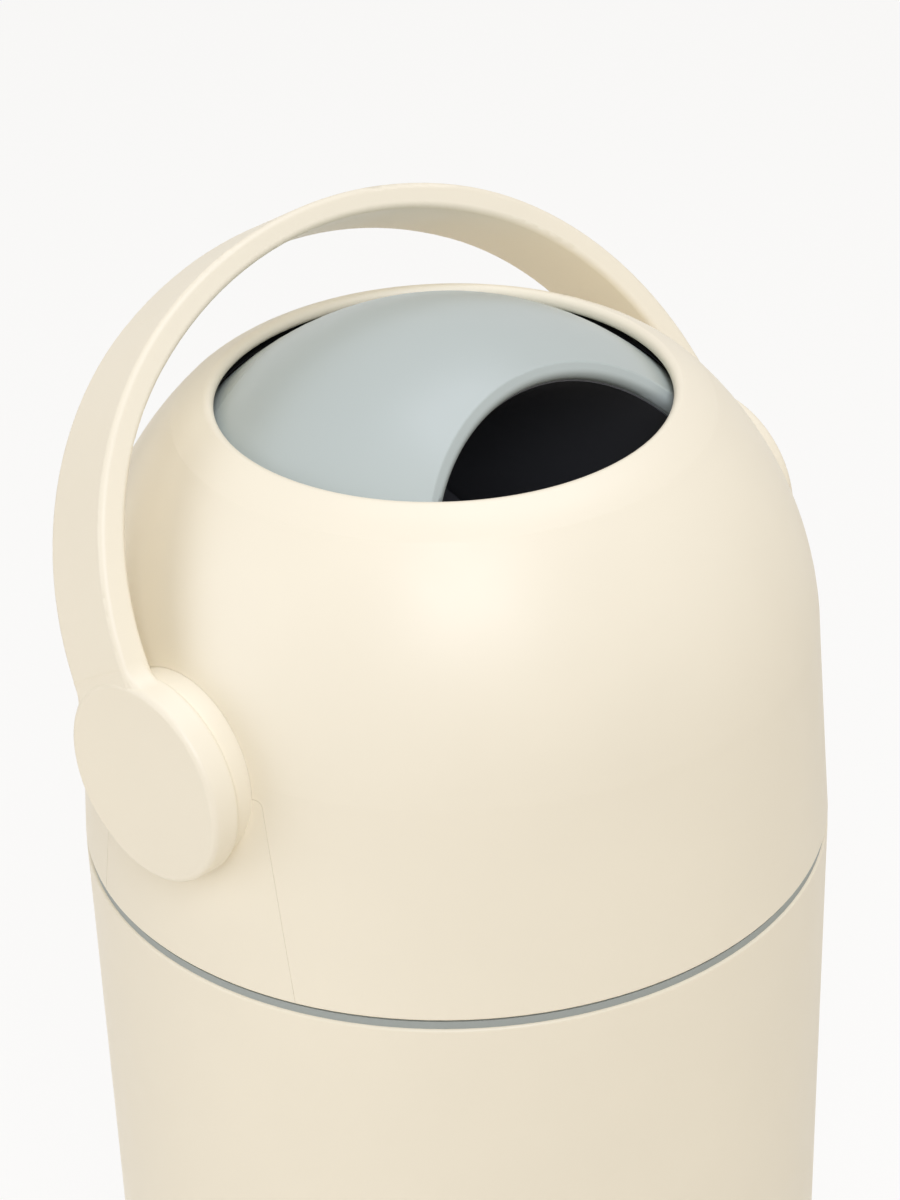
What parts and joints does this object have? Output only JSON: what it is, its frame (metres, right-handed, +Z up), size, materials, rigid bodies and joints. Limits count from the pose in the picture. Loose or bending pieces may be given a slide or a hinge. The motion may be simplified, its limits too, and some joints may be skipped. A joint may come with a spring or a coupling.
{
  "type": "nappy bin",
  "caption": "Tapered round bucket under a domed lid; a leaning arch handle turns a ball with a chamber in the lid, and a sliding piston pushes nappies down.",
  "frame": {"origin": "on the floor, on the bin's own axis, at the middle of the foot ring", "axes": "+Z up, -Y the front, where the mouth points; the handle turns about the X direction and the lid's hinge is at the back, on +Y"},
  "size_m": [0.3, 0.292, 0.6187],
  "materials": {
    "cream_plastic": "satin moulded",
    "cream_trim": "satin moulded",
    "grey_plastic": "satin moulded",
    "ring_plastic": "matte moulded",
    "black_plastic": "matte moulded",
    "seal_rubber": "matte",
    "steel": "zinc plated"
  },
  "bodies": {
    "base": {"base_shell": "cream_plastic", "foot_ring": "seal_rubber", "seam_ring": "ring_plastic", "bag_ring": "grey_plastic", "hinge_bracket": "cream_trim", "hinge_pin": "steel", "bracket_screws": "steel"},
    "lid": {"dome_shell": "cream_plastic", "axle_panel_left": "cream_plastic", "axle_panel_right": "cream_plastic", "axle_bush_left": "ring_plastic", "axle_bush_right": "ring_plastic", "lid_hinge_leaf": "cream_trim", "leaf_screws": "steel", "upper_seal": "seal_rubber", "inner_cup": "grey_plastic", "cup_screws": "steel", "lower_seal": "seal_rubber", "lid_gasket": "seal_rubber"},
    "rotor": {"drum_mouth_half": "grey_plastic", "drum_back_half": "grey_plastic", "chamber_tube": "black_plastic", "chamber_floor": "black_plastic", "handle": "cream_plastic", "axle_left": "ring_plastic", "axle_right": "ring_plastic", "axle_screws": "steel"},
    "piston": {"piston_cup": "black_plastic", "piston_seal": "seal_rubber"}
  },
  "joints": [
    {"name": "lid_hinge", "type": "hinge", "parent": "base", "child": "lid", "pos_m": [0, 0.147, 0.3931], "axis": [-1, 0, 0], "range_deg": [0, 95]},
    {"name": "handle_turn", "type": "hinge", "parent": "lid", "child": "rotor", "pos_m": [0, 0, 0.474], "axis": [1, 0, 0], "range_deg": [-58.3, 121.7]},
    {"name": "piston_slide", "type": "slide", "parent": "rotor", "child": "piston", "axis": [0, -0.8508, 0.5255], "range_m": [0, 0.129]}
  ]
}
